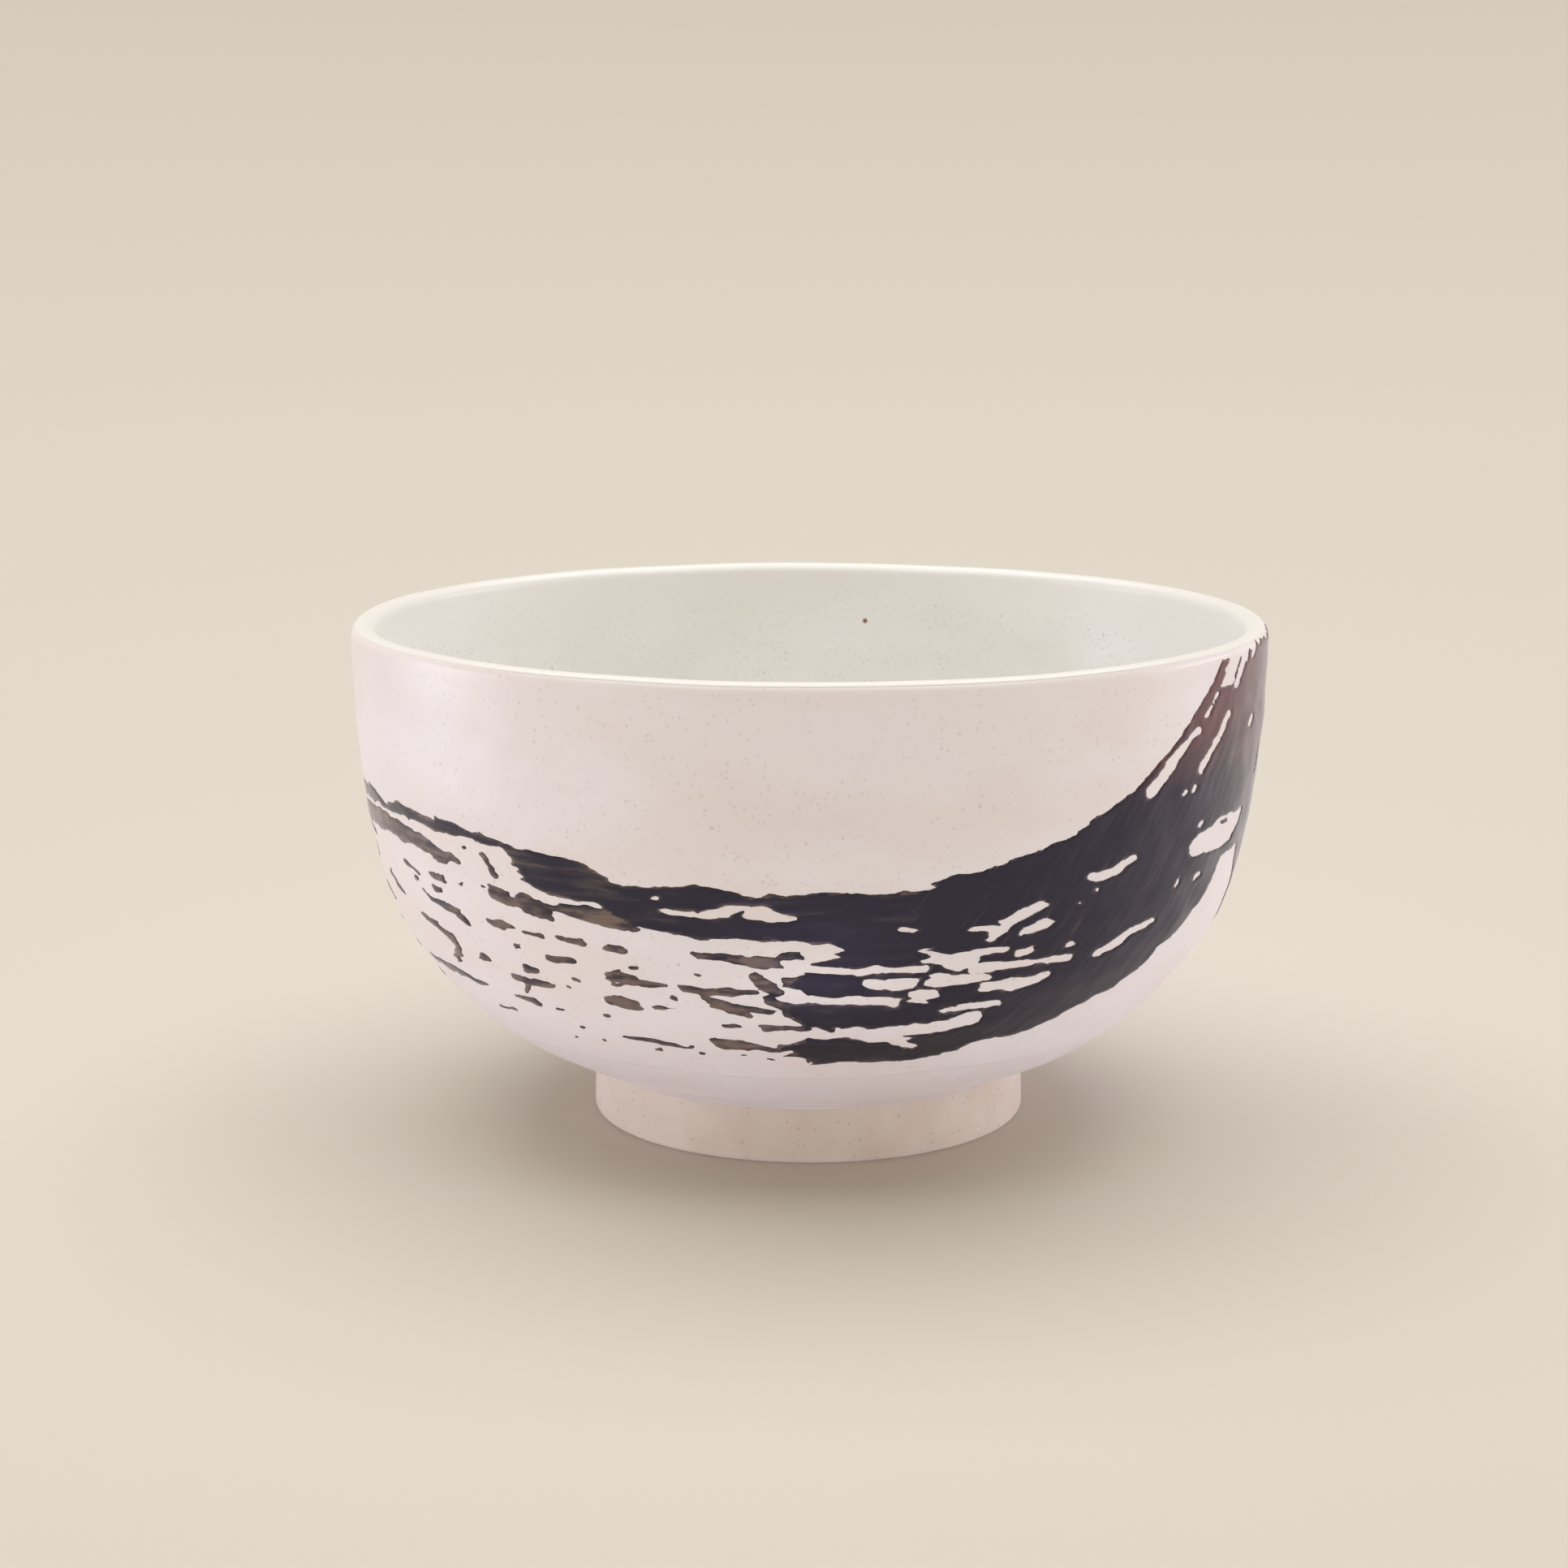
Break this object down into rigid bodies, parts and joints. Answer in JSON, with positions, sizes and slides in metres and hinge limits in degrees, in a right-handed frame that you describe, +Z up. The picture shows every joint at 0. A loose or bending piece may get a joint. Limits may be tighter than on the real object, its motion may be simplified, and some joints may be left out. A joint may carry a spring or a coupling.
{
  "type": "matcha bowl",
  "caption": "Round-bellied tea bowl on a low foot ring, white glaze inside and out, with a wide dark brush stroke sweeping round the wall and up to the lip.",
  "frame": {"origin": "on the bowl's axis, in the plane that the foot ring rests on", "axes": "+Z up along the bowl's axis, out of its mouth; -Y towards the face that the stroke crosses low down, +X towards the side where the stroke climbs to the lip"},
  "size_m": [0.1206, 0.12, 0.0667],
  "materials": {
    "stoneware": "bare fired clay, matt",
    "white_glaze": "semi-gloss warm white glaze with fine iron specks",
    "grey_white_glaze": "semi-gloss grey-white glaze with fine iron specks",
    "iron_glaze": "semi-gloss blue-black iron glaze, brown where it is thin"
  },
  "bodies": {
    "root": {"bowl_body": "stoneware", "foot_ring": "stoneware", "outer_glaze": "white_glaze", "inner_glaze": "grey_white_glaze", "brush_stroke": "iron_glaze"}
  },
  "joints": []
}
